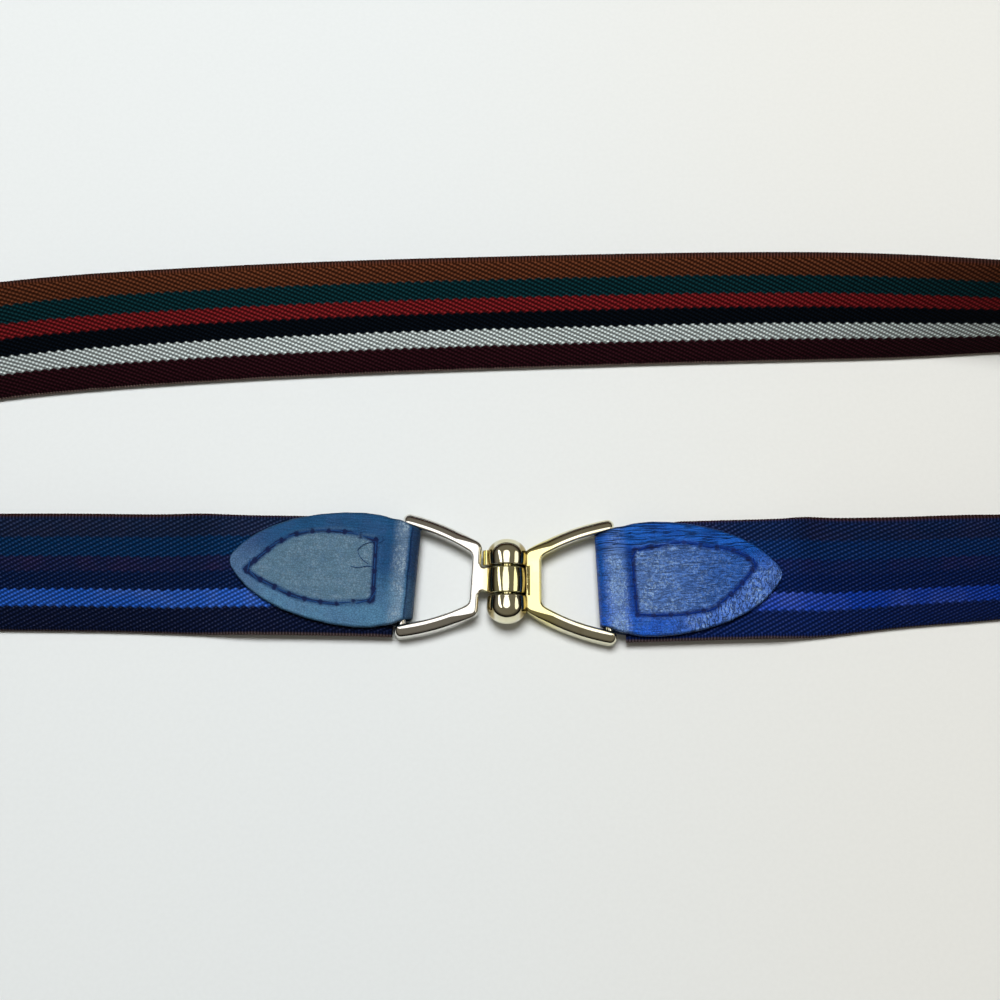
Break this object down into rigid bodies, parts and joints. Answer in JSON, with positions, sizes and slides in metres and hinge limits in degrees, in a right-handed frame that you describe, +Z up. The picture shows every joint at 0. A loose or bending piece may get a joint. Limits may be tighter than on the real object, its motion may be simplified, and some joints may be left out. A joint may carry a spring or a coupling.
{
  "type": "stretch belt",
  "caption": "Striped elastic belt, fastened and lying as a loose loop, with leather tabs folded over a two-part interlocking metal clasp.",
  "frame": {"origin": "centre of the clasp's back, on the surface that the belt lies on", "axes": "+X along the clasped front run, towards the half of the clasp that holds the pin; +Y from the front run to the back run; +Z up"},
  "size_m": [0.3673, 0.0949, 0.03],
  "materials": {
    "striped_webbing": "woven elastic with lengthwise stripes",
    "faded_blue_leather": "smooth, worn and faded",
    "royal_blue_leather": "grained, slightly glossy",
    "polished_nickel": "polished nickel plate, slightly golden"
  },
  "bodies": {
    "root": {"elastic_webbing": "striped_webbing", "leather_tab_left": "faded_blue_leather", "leather_tab_right": "royal_blue_leather", "clasp_hook_half": "polished_nickel", "clasp_catch_half": "polished_nickel"}
  },
  "joints": []
}
